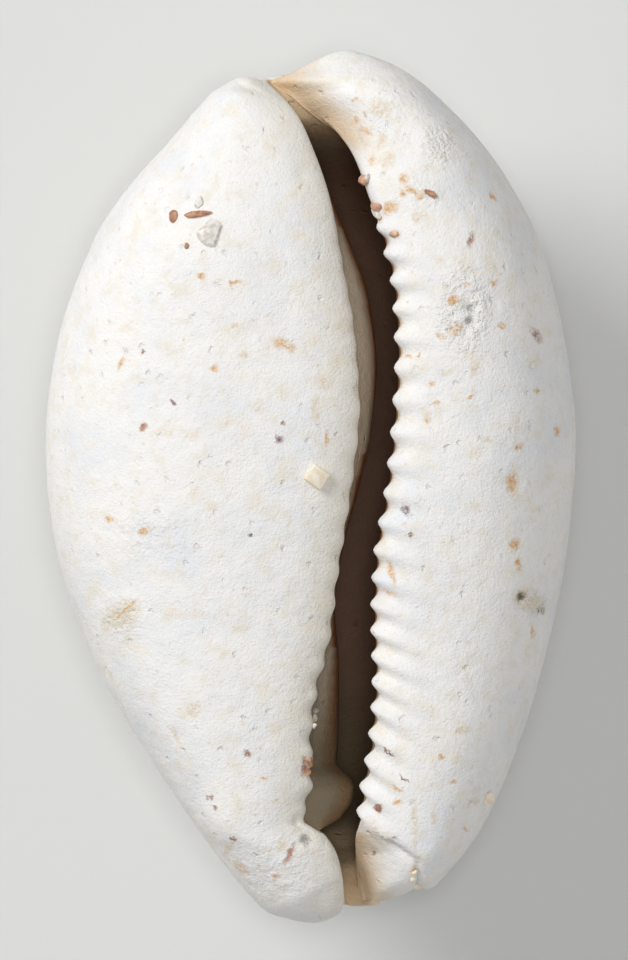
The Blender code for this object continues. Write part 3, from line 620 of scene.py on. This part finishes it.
# stains and pits on the base, by kind: place across and along (mm), half width, half length, turn (degrees)
marks = {
    "tan": [
        (-13.0, -8.7, 1.2, 0.9, 30), (-9.3, -16.9, 0.18, 0.5, 25), (-2.4, -21.4, 0.25, 0.18, 0),
        (11.3, -21.5, 0.3, 0.25, 0), (7.1, -23.1, 0.22, 1.5, 0), (7.2, 18.5, 0.3, 0.42, 30),
        (7.8, 5.2, 0.42, 0.36, 0), (12.0, 3.3, 0.4, 0.2, -10), (15.0, -7.7, 1.1, 0.7, -30),
        (4.8, 26.0, 0.8, 0.6, -30), (5.3, 22.6, 0.5, 0.6, 0), (4.9, 23.9, 0.3, 0.7, -20),
        (5.0, 21.9, 0.26, 0.5, -10), (11.2, 8.2, 0.3, 0.5, -10), (9.3, 7.9, 0.5, 0.2, 20),
        (8.4, -22.6, 0.2, 0.5, 0), (10.3, -16.6, 0.6, 0.3, 20), (0.4, 5.4, 0.34, 0.9, 0),
        (1.0, 7.2, 0.5, 0.6, 0), (-4.6, 9.2, 0.34, 0.26, 0), (-8.2, -15.2, 0.9, 0.5, 30),
        (-5.6, -24.6, 0.2, 0.9, -35), (-2.0, -24.5, 0.3, 0.5, -20),
    ],
    "orange": [
        (-5.2, 14.1, 0.45, 0.2, 10), (-1.8, 9.8, 0.75, 0.35, -20), (-6.6, 8.2, 0.28, 0.22, 0),
        (-5.2, 11.1, 0.22, 0.2, 0), (-7.5, 14.5, 0.25, 0.2, 0), (-13.0, 8.6, 0.2, 0.42, -15),
        (-13.8, -2.1, 0.28, 0.22, 20), (-11.4, -2.9, 0.4, 0.25, 30), (-12.6, -8.2, 0.9, 0.12, 40),
        (-4.8, -26.1, 0.6, 0.22, -40), (5.95, -21.5, 0.38, 0.2, 30), (9.8, -20.1, 0.24, 0.1, 10),
        (10.6, -23.4, 0.3, 0.1, -30), (7.1, -26.1, 0.2, 0.16, 0), (6.4, 21.2, 0.35, 0.3, 30),
        (7.0, 20.4, 0.6, 0.28, -25), (5.4, 19.2, 0.6, 0.4, 20), (5.8, 17.4, 0.3, 0.28, 0),
        (12.5, 20.0, 0.12, 0.36, 40), (9.7, 12.9, 0.42, 0.36, 30), (10.6, 14.0, 0.28, 0.2, 0),
        (12.5, 14.1, 0.26, 0.22, 0), (9.9, 10.9, 0.5, 0.3, 20), (8.9, 10.4, 0.3, 0.2, -20),
        (13.1, 11.1, 0.28, 0.2, 0), (6.7, 9.1, 0.24, 0.22, 0), (7.4, 9.15, 0.16, 0.15, 0),
        (8.2, 7.1, 0.3, 0.2, 10), (8.6, 5.8, 0.3, 0.2, 20), (10.9, 6.1, 0.16, 0.8, -15),
        (15.5, 6.7, 0.2, 0.18, 0), (16.9, 3.9, 0.2, 0.34, 0), (14.2, 2.8, 0.34, 0.2, 35),
        (13.8, 0.35, 0.4, 0.7, 0), (14.0, -3.9, 0.3, 0.45, -20), (14.2, -5.2, 0.2, 0.5, 10),
        (15.2, -9.8, 0.16, 0.5, 10), (5.5, -5.7, 0.22, 0.8, 15), (5.4, -7.2, 0.6, 0.14, -25),
        (3.1, 25.25, 0.22, 0.3, 0), (3.8, 24.5, 0.45, 0.16, -35), (3.0, 26.7, 0.26, 0.14, 20),
        (-1.7, 27.75, 0.7, 0.3, 10), (6.3, 20.2, 0.2, 0.34, 20), (7.5, 19.9, 0.34, 0.16, 30),
        (4.6, 18.5, 0.3, 0.3, 0), (4.1, 22.4, 0.2, 0.34, -30), (8.0, 4.6, 0.16, 0.3, -20),
        (5.9, -20.6, 0.5, 0.1, -30), (9.0, -18.4, 0.2, 0.14, 0), (1.1, 3.4, 0.14, 0.5, 0),
        (-3.2, -19.9, 0.22, 0.14, 0), (-2.4, -26.6, 0.3, 0.14, 20),
    ],
    "rust": [
        (-11.45, 4.2, 0.25, 0.3, 0), (-11.5, 9.3, 0.22, 0.1, 5), (-4.3, -18.2, 0.18, 0.26, 40),
        (-5.3, -24.1, 0.22, 0.16, 0), (-1.45, -25.1, 0.2, 0.7, -25), (-0.4, -19.0, 0.22, 0.6, 0),
        (4.6, -21.9, 0.26, 0.22, 0), (5.2, -18.0, 0.6, 0.07, -35), (8.2, 20.2, 0.42, 0.18, -28),
        (11.0, 17.0, 0.2, 0.42, -20), (15.5, 10.5, 0.26, 0.5, 30), (6.8, -3.2, 0.18, 0.15, 0),
        (-1.3, 26.5, 0.16, 0.22, 0), (6.4, -19.9, 0.4, 0.07, -30), (-1.9, 4.4, 0.14, 0.14, 0),
        (-6.9, -21.2, 0.2, 0.2, 0), (-6.6, -22.0, 0.16, 0.2, 0),
    ],
    "plum": [
        (-2.2, 3.4, 0.34, 0.24, -15), (-9.4, 5.85, 0.24, 0.1, -35), (6.5, -1.5, 0.24, 0.32, 20),
    ],
    "dark": [
        (-4.1, -3.2, 0.16, 0.14, 0), (4.35, -25.1, 0.14, 0.11, 0), (14.4, -7.4, 0.3, 0.34, 20),
        (15.8, -8.4, 0.26, 0.24, 0),
    ],
    "grey": [
        (-0.34, -24.15, 0.3, 0.42, 30), (10.9, 12.3, 0.22, 0.3, 5), (10.8, 11.5, 0.2, 0.26, 5),
    ],
}
# lighter and darker tone of each kind, and how strong it gets
markColours = {
    "tan": ("#E3D2B4", "#D3BC96", 0.6), "orange": ("#E7C392", "#C98F4C", 0.85),
    "rust": ("#C68E6C", "#A05C3C", 0.9), "plum": ("#A88086", "#7E5058", 0.92),
    "dark": ("#8C8062", "#564C3A", 0.92), "grey": ("#B9B7B4", "#8D8B8C", 0.8),
}

# bleached aragonite: dead white and chalky where the glaze has gone, cream where some is left, with iron
# stains and fine etched pits; the hollow is brown, and painted shade darkens it further in, as well as the
# grooves and the canals
chalk = {
    "white": "#F3F1EE", "cool": "#E6E8EC", "cream": "#EADFCB", "stain": "#DBB67F",
    # groove colour: cream with painted shade, for the grooves and a band along the inner lip
    "groove": "#D5CCB8", "tan": "#EBDDC4", "line": "#B06A34", "brown": "#8E6A54", "canal": "#DAC09A",
    # painted shade for the front of the inner whorl, deep under the inner lip
    "frontShade": "#7A6A50",
    "roughness": 0.72, "glossSpread": 0.12, "index": 1.53,
    # noises: size of their features (mm) and detail
    "cloud": (5.0, 3), "mottle": (1.3, 4), "speck": (0.45, 3), "wrinkle": (1.1, 4), "grain": (0.17, 2),
    # tints of the white: noise, the range over which it comes in, tint and how strong it gets
    "tints": [("cloud", 0.45, 0.7, "cool", 0.8), ("mottle", 0.5, 0.75, "cream", 0.75),
              ("speck", 0.63, 0.76, "stain", 0.55)],
    "grooveCream": (0.2, 0.75),  # where cream and painted shade in the grooves come in, and how strong they get
    "ragged": 0.7,  # mm by which the edges of stains wander
    "stainsFrom": (14.5, 16.5),  # mm up, where stains come in on the sides
    "stainEdge": (1.4, 0.5),  # shares of a stain's half size where it has faded out, and where it is full
    # how the speck breaks stains up (range of the noise, strengths), and where their two tones meet
    "patchy": (0.4, 0.5, 0.35, 1.0), "twoTone": (0.4, 0.62),
    # the way in, its brown deepening inwards as painted shade: place and colour
    "wayIn": [(0.0, "groove"), (0.1, "tan"), (0.33, "tan"), (0.41, "line"), (0.48, "brown")],
    "wayInFrom": 0.16,
    "frontShadeRange": (-10, -18, 0.8),  # where along the shell the painted shade over the front of the inner whorl comes in (mm), and how strong it gets
    # canal tan: a stain with the inner lobe's shadow painted into it
    "canalTanAndShadow": 0.85,
    "pitSpacing": 1.5, "pitSize": 0.16, "etchedFrom": 0.8,
    # depths in mm
    "wrinkles": 0.13, "grains": 0.06, "pits": 0.1, "etched": 0.32,
}


def chalkMaterial(name, stains):
    material, tree, shader = newMaterial(name)
    where = addNode(tree, "ShaderNodeTexCoord").outputs["Object"]
    along, height = addNode(tree, "ShaderNodeSeparateXYZ", {0: where}).outputs[1:]
    inward, groove, canal, etched = (
        addNode(tree, "ShaderNodeAttribute", attribute_name=field).outputs["Fac"]
        for field in ("inward", "groove", "canal", "etched"))
    noises = {}
    for kind in ("cloud", "mottle", "speck", "wrinkle", "grain"):
        size, detail = chalk[kind]
        noises[kind] = addNode(tree, "ShaderNodeTexNoise", {
            "Vector": where, "Scale": 1 / (size * mm), "Detail": detail, "Roughness": 0.6})

    # layers over the white, each an amount and a colour
    layers = []
    for kind, start, stop, tint, most in chalk["tints"]:
        amount = addNode(tree, "ShaderNodeMapRange", {
            0: noises[kind].outputs[0], 1: start, 2: stop, 3: 0.0, 4: most})
        layers.append((amount.outputs[0], rgb(chalk[tint])))

    # cream left between teeth and knobs and along the inner lip, darkened as painted shade
    start, most = chalk["grooveCream"]
    amount = addNode(tree, "ShaderNodeMapRange", {0: groove, 1: start, 2: 1.0, 3: 0.0, 4: most})
    layers.append((amount.outputs[0], rgb(chalk["groove"])))

    # stains with ragged edges, on the base only
    ragged = addNode(tree, "ShaderNodeVectorMath", {
        0: noises["speck"].outputs["Color"], 1: (0.5, 0.5, 0.5)}, operation="SUBTRACT")
    ragged = addNode(tree, "ShaderNodeVectorMath", {
        0: ragged.outputs[0], 1: (chalk["ragged"] * mm, chalk["ragged"] * mm, 0)}, operation="MULTIPLY")
    ragged = addNode(tree, "ShaderNodeVectorMath", {0: where, 1: ragged.outputs[0]}, operation="ADD")
    start, stop = chalk["stainsFrom"]
    onBase = addNode(tree, "ShaderNodeMapRange", {0: height, 1: start * mm, 2: stop * mm, 3: 0.0, 4: 1.0})
    start, stop = chalk["twoTone"]
    twoTone = addNode(tree, "ShaderNodeMapRange", {0: noises["grain"].outputs[0], 1: start, 2: stop})
    start, stop, least, most = chalk["patchy"]
    patchy = addNode(tree, "ShaderNodeMapRange", {
        0: noises["speck"].outputs[0], 1: start, 2: stop, 3: least, 4: most})
    patchy = addNode(tree, "ShaderNodeMath", {
        0: patchy.outputs[0], 1: onBase.outputs[0]}, operation="MULTIPLY")
    dents = 0.0
    fadedOut, full = chalk["stainEdge"]
    for kind, (light, dark, most) in markColours.items():
        family = 0.0
        for x, y, wide, long, turn in stains[kind]:
            spot = addNode(tree, "ShaderNodeMapping", {
                "Vector": ragged.outputs[0], "Location": (x * mm, y * mm, 0),
                "Rotation": (0, 0, math.radians(turn)), "Scale": (wide * mm, long * mm, 1)},
                vector_type="TEXTURE")
            far = addNode(tree, "ShaderNodeVectorMath", {0: spot.outputs[0]}, operation="LENGTH")
            near = addNode(tree, "ShaderNodeMapRange", {
                0: far.outputs["Value"], 1: fadedOut, 2: full, 3: 0.0, 4: most})
            family = addNode(tree, "ShaderNodeMath", {0: near.outputs[0], 1: family},
                             operation="MAXIMUM").outputs[0]
        family = addNode(tree, "ShaderNodeMath", {0: family, 1: patchy.outputs[0]},
                         operation="MULTIPLY").outputs[0]
        tint = addNode(tree, "ShaderNodeMix", {0: twoTone.outputs[0], 6: rgb(light), 7: rgb(dark)},
                       data_type="RGBA")
        layers.append((family, tint.outputs[2]))
        if kind in ("dark", "grey", "rust", "plum"):
            dents = addNode(tree, "ShaderNodeMath", {0: family, 1: dents}, operation="MAXIMUM").outputs[0]

    # the way in: cream, grey-tan over the inner whorl, a rust line at its bulge, then brown; the ramp from
    # tan to brown also paints the shade where the whorl turns away and deeper in
    half = addNode(tree, "ShaderNodeMath", {0: inward, 1: 0.5}, operation="MULTIPLY")
    ramp = addNode(tree, "ShaderNodeValToRGB", {0: half.outputs[0]})
    while len(ramp.color_ramp.elements) < len(chalk["wayIn"]):
        ramp.color_ramp.elements.new(0.5)
    for element, (place, tint) in zip(ramp.color_ramp.elements, chalk["wayIn"]):
        element.position = place
        element.color = rgb(chalk[tint])
    within = addNode(tree, "ShaderNodeMapRange", {0: inward, 1: 0.0, 2: chalk["wayInFrom"], 3: 0.0, 4: 1.0})
    layers.append((within.outputs[0], ramp.outputs[0]))

    # painted shade over the front of the inner whorl, and the canals stained tan with the inner lobe's shadow
    # painted in
    start, stop, most = chalk["frontShadeRange"]
    front = addNode(tree, "ShaderNodeMapRange", {0: along, 1: start * mm, 2: stop * mm, 3: 0.0, 4: most})
    front = addNode(tree, "ShaderNodeMath", {0: front.outputs[0], 1: within.outputs[0]}, operation="MULTIPLY")
    layers.append((front.outputs[0], rgb(chalk["frontShade"])))
    # canal tan, partly a stain and partly the inner lobe's shadow painted on the canal walls
    amount = addNode(tree, "ShaderNodeMath", {0: canal, 1: chalk["canalTanAndShadow"]}, operation="MULTIPLY")
    layers.append((amount.outputs[0], rgb(chalk["canal"])))

    colour = rgb(chalk["white"])
    for amount, tint in layers:
        colour = addNode(tree, "ShaderNodeMix", {0: amount, 6: colour, 7: tint}, data_type="RGBA").outputs[2]
    tree.links.new(colour, shader.inputs["Base Color"])

    # etched pits, wrinkles and grain
    cells = addNode(tree, "ShaderNodeTexVoronoi", {
        "Vector": ragged.outputs[0], "Scale": 1 / (chalk["pitSpacing"] * mm)})
    pits = addNode(tree, "ShaderNodeMapRange", {
        0: cells.outputs["Distance"], 1: 0.0, 2: chalk["pitSize"], 3: 0.0, 4: 1.0})
    relief = addNode(tree, "ShaderNodeMath", {0: pits.outputs[0], 1: dents}, operation="SUBTRACT")
    rough = addNode(tree, "ShaderNodeMapRange", {0: etched, 1: 0.0, 2: chalk["etchedFrom"], 3: 0.0, 4: 1.0})
    rough = addNode(tree, "ShaderNodeMath", {
        0: rough.outputs[0], 1: noises["speck"].outputs[0]}, operation="MULTIPLY")
    bump = None
    for source, depth in ((noises["wrinkle"], "wrinkles"), (noises["grain"], "grains"), (relief, "pits"),
                          (rough, "etched")):
        inputs = {"Strength": 1.0, "Distance": chalk[depth] * mm, "Height": source.outputs[0]}
        if bump:
            inputs["Normal"] = bump.outputs[0]
        bump = addNode(tree, "ShaderNodeBump", inputs)
    tree.links.new(bump.outputs[0], shader.inputs["Normal"])
    gloss = addNode(tree, "ShaderNodeMapRange", {
        0: noises["mottle"].outputs[0], 1: 0.3, 2: 0.7, 3: chalk["roughness"] - chalk["glossSpread"],
        4: chalk["roughness"] + chalk["glossSpread"]})
    tree.links.new(gloss.outputs[0], shader.inputs["Roughness"])
    shader.inputs["IOR"].default_value = chalk["index"]
    return material


# the same finish in four zones, each with the stains that lie in it; the first is the back and sides
zones = {
    "bleachedAragonite": lambda x, y: False,
    "bleachedAragoniteInnerBase": lambda x, y: x < 2.5 and not (x > -2.5 and y > 24),
    "bleachedAragoniteOuterRear": lambda x, y: y >= 6,
    "bleachedAragoniteOuterFront": lambda x, y: True,
}
zonesFrom = 14  # mm up


def zoneOf(x, y):
    return next(number for number, holds in enumerate(zones.values()) if holds(x, y))


shell.data.materials.clear()
for number, name in enumerate(zones):
    stains = {kind: [mark for mark in group if zoneOf(*mark[:2]) == number] for kind, group in marks.items()}
    shell.data.materials.append(chalkMaterial(name, stains))
centres = np.empty(len(shell.data.polygons) * 3)
shell.data.polygons.foreach_get("center", centres)
shell.data.polygons.foreach_set("material_index", [
    zoneOf(x / mm, y / mm) if z > zonesFrom * mm else 0 for x, y, z in centres.reshape(-1, 3)])
print("shell finished")


# sand and shell grit stuck to the base, each ground from a rough lump
grit = {
    # finish, across and along (mm), size (mm), turn (degrees), flat faces cut on it (none: a block)
    "brownGrain": ("ironstone", -9.5, 18.6, (0.6, 0.8, 0.45), -15, 5),
    "redSliver": ("ironstone", -7.7, 18.8, (1.7, 0.42, 0.35), 8, 4),
    "paleChip": ("quartz", -7.6, 19.5, (0.6, 0.85, 0.3), -10, 5),
    "clearFlake": ("quartz", -6.9, 17.5, (1.5, 1.7, 0.42), 30, 6),
    "smallBrownGrain": ("ironstone", -8.6, 16.6, (0.3, 0.35, 0.25), 0, 4),
    "squareGrain": ("shellGrit", 0.35, 0.8, (1.36, 1.3, 0.85), -35, 0),
    "pearlGrain": ("shellGrit", 12.1, -21.3, (0.75, 0.85, 0.6), 0, 2),
    "lipGrain1": ("pinkGrit", 3.75, 21.05, (0.8, 0.75, 0.6), 30, 5),
    "lipGrain2": ("quartz", 3.2, 21.2, (0.7, 0.4, 0.4), 60, 4),
    "lipGrain3": ("pinkGrit", 4.55, 19.35, (0.75, 0.6, 0.45), -20, 5),
    "lipGrain4": ("quartz", 4.3, 18.8, (0.95, 0.4, 0.4), -35, 4),
    "lipGrain5": ("pinkGrit", 5.7, 17.4, (0.6, 0.5, 0.3), 10, 4),
    "innerGrain1": ("quartz", 0.24, -15.2, (0.55, 0.45, 0.4), 10, 5),
    "innerGrain2": ("shellGrit", 0.26, -15.75, (0.6, 0.4, 0.4), 60, 5),
    "innerGrain3": ("quartz", 0.16, -16.2, (0.5, 0.35, 0.35), -30, 5),
    "rustGrain1": ("ironstone", -0.1, -18.75, (0.4, 0.6, 0.35), 10, 4),
    "rustGrain2": ("ironstone", -0.25, -19.4, (0.36, 0.5, 0.35), -15, 4),
    "tipGrain1": ("shellGrit", 7.35, -27.3, (0.6, 0.4, 0.35), 20, 3),
    "tipGrain2": ("shellGrit", 7.0, -26.8, (0.35, 0.35, 0.3), 20, 3),
    "tipGrain3": ("shellGrit", 7.1, -26.3, (0.3, 0.35, 0.3), 0, 3),
    "seedGrain": ("ironstone", 4.62, -21.9, (0.36, 0.4, 0.3), 0, 3),
    "darkGrain": ("ironstone", 8.2, 20.2, (0.75, 0.34, 0.25), -28, 4),
}
gritForm = {
    "roughRadius": 0.62, "cutsAt": (0.3, 0.44),  # the lump and how far out it is cut, for a grain of size 1
    "edge": 0.05, "blockEdge": 0.14, "edgeAngle": 25, "smoothAngle": 35,  # mm and degrees
    "sunk": 0.22,  # share of its height that its middle is above the surface
    "lipFrom": 0.7, "lipNear": 0.93,  # shares of the shell's height
    "mottle": 0.35, "twoTone": (0.4, 0.62), "depth": 0.03,  # mm
}
# quartz sand: clear grey and a little glossy; ironstone: matt orange brown; shell grit: cream to pink, satin
gritFinishes = {
    "quartz": ("#EAE6DF", "#CFC8BE", 0.35), "ironstone": ("#C79A7A", "#A06E56", 0.65),
    "shellGrit": ("#F6EEDD", "#EBDCBE", 0.5), "pinkGrit": ("#DDB79E", "#C3947B", 0.45),
}


def gritMaterial(name, light, dark, roughness):
    material, tree, shader = newMaterial(name)
    where = addNode(tree, "ShaderNodeTexCoord").outputs["Object"]
    mottle = addNode(tree, "ShaderNodeTexNoise", {
        "Vector": where, "Scale": 1 / (gritForm["mottle"] * mm), "Detail": 3.0})
    start, stop = gritForm["twoTone"]
    amount = addNode(tree, "ShaderNodeMapRange", {0: mottle.outputs[0], 1: start, 2: stop})
    colour = addNode(tree, "ShaderNodeMix", {
        0: amount.outputs[0], 6: rgb(light), 7: rgb(dark)}, data_type="RGBA")
    bump = addNode(tree, "ShaderNodeBump", {
        "Distance": gritForm["depth"] * mm, "Height": mottle.outputs[0]})
    tree.links.new(colour.outputs[2], shader.inputs["Base Color"])
    tree.links.new(bump.outputs[0], shader.inputs["Normal"])
    shader.inputs["Roughness"].default_value = roughness
    return material


def addGrain(name, x, y, size, turn, cuts, seed):
    random = np.random.default_rng(seed)
    form = gritForm
    found, spot, normal, _ = shell.ray_cast(Vector((x * mm, y * mm, 2 * high.z)), Vector((0, 0, -1)))
    if not found or spot.z < form["lipFrom"] * high.z:  # past the edge of a lip: the nearest place on it
        beside = Vector((x * mm, y * mm, form["lipNear"] * high.z))
        found, spot, normal, _ = shell.closest_point_on_mesh(beside)
    bpy.ops.object.select_all(action="DESELECT")
    if cuts:
        bpy.ops.mesh.primitive_ico_sphere_add(subdivisions=3, radius=form["roughRadius"])
    else:
        bpy.ops.mesh.primitive_cube_add(size=1)
    piece = bpy.context.object
    piece.name = piece.data.name = name
    bpy.ops.object.mode_set(mode="EDIT")
    for _ in range(cuts):
        facing = Vector(random.normal(size=3)).normalized()
        bpy.ops.mesh.select_all(action="SELECT")
        bpy.ops.mesh.bisect(plane_co=facing * random.uniform(*form["cutsAt"]), plane_no=facing,
                            use_fill=True, clear_outer=True)
    bpy.ops.mesh.select_all(action="SELECT")
    bpy.ops.transform.resize(value=size)
    bpy.ops.object.mode_set(mode="OBJECT")
    soften = piece.modifiers.new("soften", "BEVEL")
    soften.width = form["edge"] if cuts else form["blockEdge"]
    soften.segments = 2
    soften.angle_limit = math.radians(form["edgeAngle"])
    bpy.ops.object.modifier_apply(modifier=soften.name)
    piece.scale = (mm, mm, mm)
    lean = Vector((0, 0, 1)).rotation_difference(normal).to_matrix().to_4x4()
    piece.rotation_euler = (lean @ Matrix.Rotation(math.radians(turn), 4, "Z")).to_euler()
    piece.location = spot + normal * size[2] * form["sunk"] * mm
    bpy.ops.object.transform_apply(location=True, rotation=True, scale=True)
    bpy.ops.object.shade_smooth_by_angle(angle=math.radians(form["smoothAngle"]))
    return piece


bpy.context.view_layer.update()
gritMaterials = {name: gritMaterial(name, *values) for name, values in gritFinishes.items()}
for seed, (name, (finish, *form)) in enumerate(grit.items()):
    grain = addGrain(name, *form, seed)
    grain.data.materials.append(gritMaterials[finish])
    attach(grain, "root")
print("grit stuck on,", len(grit), "grains")


# a plain pale floor, and soft light from the upper left
stage = {
    "floorSize": 1.6, "floorColour": "#DEDEDC", "floorRoughness": 0.9, "surrounding": 0.3,
    # place from the middle of the object (m), size (m), watts
    "keyLight": ((-0.38, 0.3, 0.42), 0.3, 2.7),
    "fillLight": ((0.42, -0.16, 0.3), 0.4, 0.28),
    "topLight": ((0.03, 0.02, 1.35), 0.2, 3.7),
}
bpy.ops.object.select_all(action="DESELECT")
bpy.ops.mesh.primitive_plane_add(size=stage["floorSize"], location=(middle.x, middle.y, low.z))
floor = bpy.context.object
floor.name = "floor"
floorMaterial, floorTree, floorShader = newMaterial("paleCard")
floorShader.inputs["Base Color"].default_value = rgb(stage["floorColour"])
floorShader.inputs["Roughness"].default_value = stage["floorRoughness"]
floor.data.materials.append(floorMaterial)

for name in ("keyLight", "fillLight", "topLight"):
    place, size, power = stage[name]
    lampData = bpy.data.lights.new(name, "AREA")
    lampData.size = size
    lampData.energy = power
    lamp = bpy.data.objects.new(name, lampData)
    bpy.context.scene.collection.objects.link(lamp)
    lamp.location = middle + Vector(place)
    lamp.rotation_euler = Vector(place).to_track_quat("Z", "Y").to_euler()
world = bpy.data.worlds.new("studio")
world.use_nodes = True
world.node_tree.nodes["Background"].inputs[0].default_value = (1, 1, 1, 1)
world.node_tree.nodes["Background"].inputs[1].default_value = stage["surrounding"]
bpy.context.scene.world = world
bpy.context.scene.view_settings.view_transform = "Standard"
print("stage set")
